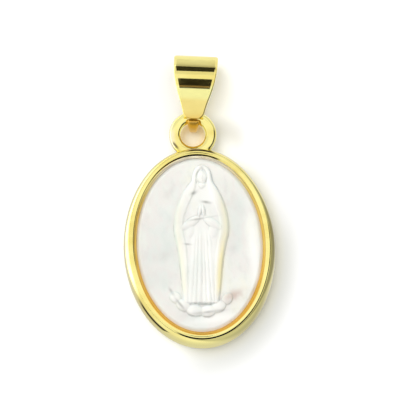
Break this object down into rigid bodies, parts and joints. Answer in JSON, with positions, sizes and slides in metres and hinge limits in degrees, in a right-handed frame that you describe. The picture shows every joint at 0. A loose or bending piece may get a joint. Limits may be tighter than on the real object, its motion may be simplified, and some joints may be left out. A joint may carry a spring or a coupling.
{
  "type": "religious medal pendant",
  "caption": "Oval gold-coloured medal: a bezel frame with a ring holds a carved mother-of-pearl plaque with a veiled figure, and a folded bail swings on the ring.",
  "frame": {"origin": "centre of the frame's flat back, which is the face the medal lies on", "axes": "+Z out of the medal's front, away from the surface it lies on; +Y from the medal's centre to its ring and bail; +X to the right of the figure as seen from the front"},
  "size_m": [0.0152, 0.0299, 0.0038],
  "materials": {
    "gold": "brass with polished light-gold plating",
    "pearl": "carved and polished mother-of-pearl shell"
  },
  "bodies": {
    "medal": {"bezel_frame": "gold", "pearl_plaque": "pearl"},
    "bail": {"bail": "gold"}
  },
  "joints": [
    {"name": "bail_swing", "type": "hinge", "parent": "medal", "child": "bail", "pos_m": [0.00018, 0.01329, 0.00119], "axis": [0.9947, -0.1028, 0], "range_deg": [0, 105]}
  ]
}
